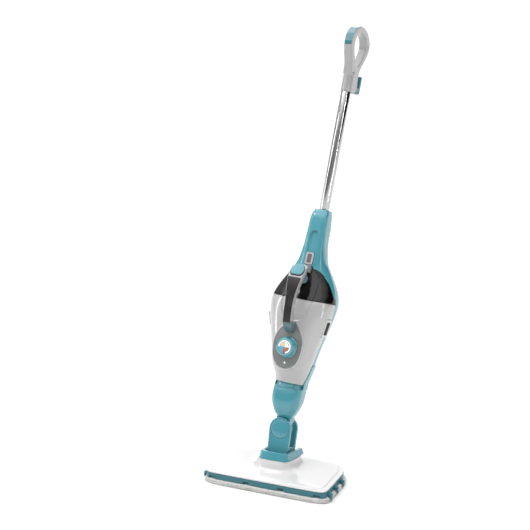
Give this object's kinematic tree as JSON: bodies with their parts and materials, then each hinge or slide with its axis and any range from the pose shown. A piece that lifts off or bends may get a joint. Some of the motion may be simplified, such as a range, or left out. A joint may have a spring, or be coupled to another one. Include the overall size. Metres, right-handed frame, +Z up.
{
  "type": "steam mop",
  "caption": "Upright steam mop: padded floor head on a tilting, rolling neck, a lift-out hand-held steam unit with a dial, and a chrome pole with a D handle.",
  "frame": {"origin": "centre of the mop pad's sole, on the floor", "axes": "+Z up from the floor, -Y towards the front of the mop (the dial's side), +X towards the right of somebody standing behind it"},
  "size_m": [0.3318, 0.491, 1.0727],
  "materials": {
    "teal_plastic": "glossy moulded teal, lightly scuffed",
    "white_plastic": "glossy moulded white",
    "pale_grey_plastic": "satin pale grey",
    "panel_grey_plastic": "satin mid grey",
    "button_grey_plastic": "satin grey",
    "black_plastic": "fine-grained black",
    "smoke_plastic": "clear smoke-tinted, polished",
    "natural_nylon": "natural",
    "microfibre": "looped microfibre pile",
    "chrome": "polished",
    "steel": "plain",
    "aluminium": "die cast"
  },
  "bodies": {
    "head": {"mop_pad": "microfibre", "head_base_plate": "teal_plastic", "head_top_cover": "white_plastic", "steam_manifold": "natural_nylon", "joint_collar": "teal_plastic", "head_screw_1": "steel", "head_screw_2": "steel", "head_screw_3": "steel", "head_screw_4": "steel", "pitch_pin_left": "steel", "pitch_pin_right": "steel"},
    "yoke": {"yoke_frame": "teal_plastic", "yoke_cap_front": "teal_plastic", "yoke_cap_rear": "teal_plastic", "roll_pin": "steel"},
    "mast": {"boot": "teal_plastic", "roll_bush_front": "natural_nylon", "roll_bush_rear": "natural_nylon", "steam_coupling": "black_plastic", "rear_housing": "teal_plastic", "pole_tube": "chrome", "handle_shell": "pale_grey_plastic", "handle_insert": "teal_plastic", "lower_cord_hook": "black_plastic"},
    "release_button": {"release_button": "button_grey_plastic"},
    "upper_hook": {"upper_cord_hook": "teal_plastic"},
    "hand_unit": {"front_cover": "white_plastic", "unit_back": "pale_grey_plastic", "water_tank": "smoke_plastic", "dial_panel": "panel_grey_plastic", "carry_handle": "pale_grey_plastic", "grip_strip": "black_plastic", "latch_bezel_left": "white_plastic", "latch_bezel_right": "white_plastic", "boiler": "aluminium", "pump": "black_plastic", "steam_valve": "natural_nylon", "water_hose": "black_plastic", "steam_hose": "black_plastic", "steam_nozzle": "black_plastic", "cord_gland": "black_plastic"},
    "dial": {"dial_knob": "teal_plastic", "dial_face": "white_plastic"},
    "steam_button": {"steam_button": "teal_plastic"},
    "latch_left": {"latch_button_left": "black_plastic"},
    "latch_right": {"latch_button_right": "black_plastic"},
    "tank_cap": {"tank_cap": "teal_plastic"}
  },
  "joints": [
    {"name": "head_pitch", "type": "hinge", "parent": "head", "child": "yoke", "pos_m": [0, 0.0209, 0.0485], "axis": [-1, 0, 0], "range_deg": [-17, 45]},
    {"name": "neck_roll", "type": "hinge", "parent": "yoke", "child": "mast", "pos_m": [0, 0.04199, 0.1175], "axis": [0, 0.9563, -0.2924], "range_deg": [-44, 36]},
    {"name": "handheld_release", "type": "slide", "parent": "mast", "child": "hand_unit", "axis": [0, -0.9563, 0.2924], "range_m": [0, 0.09]},
    {"name": "dial_turn", "type": "hinge", "parent": "hand_unit", "child": "dial", "pos_m": [0.01402, 0.02794, 0.33147], "axis": [0, 0.9563, -0.2924], "range_deg": [0, 270]},
    {"name": "steam_button_press", "type": "slide", "parent": "hand_unit", "child": "steam_button", "axis": [-0.0467, 0.5155, -0.8556], "range_m": [0, 0.003], "stiffness_N_per_m": 600, "springref_m": -0.001},
    {"name": "release_button_press", "type": "slide", "parent": "mast", "child": "release_button", "axis": [-0.0097, 0.9064, -0.4223], "range_m": [0, 0.003], "stiffness_N_per_m": 600, "springref_m": -0.001},
    {"name": "latch_left_press", "type": "slide", "parent": "hand_unit", "child": "latch_left", "axis": [0.8585, 0.5127, 0.0074], "range_m": [0, 0.003], "stiffness_N_per_m": 600, "springref_m": -0.001},
    {"name": "latch_right_press", "type": "slide", "parent": "hand_unit", "child": "latch_right", "axis": [-0.8283, 0.5472, 0.1202], "range_m": [0, 0.003], "stiffness_N_per_m": 600, "springref_m": -0.001},
    {"name": "upper_hook_turn", "type": "hinge", "parent": "mast", "child": "upper_hook", "pos_m": [0.05929, 0.32567, 0.91744], "axis": [0, 0.9563, -0.2924], "range_deg": [0, 180]},
    {"name": "tank_cap_turn", "type": "hinge", "parent": "hand_unit", "child": "tank_cap", "pos_m": [0.02553, 0.09806, 0.48215], "axis": [0.0261, -0.7774, 0.6284], "range_deg": [0, 90]}
  ]
}
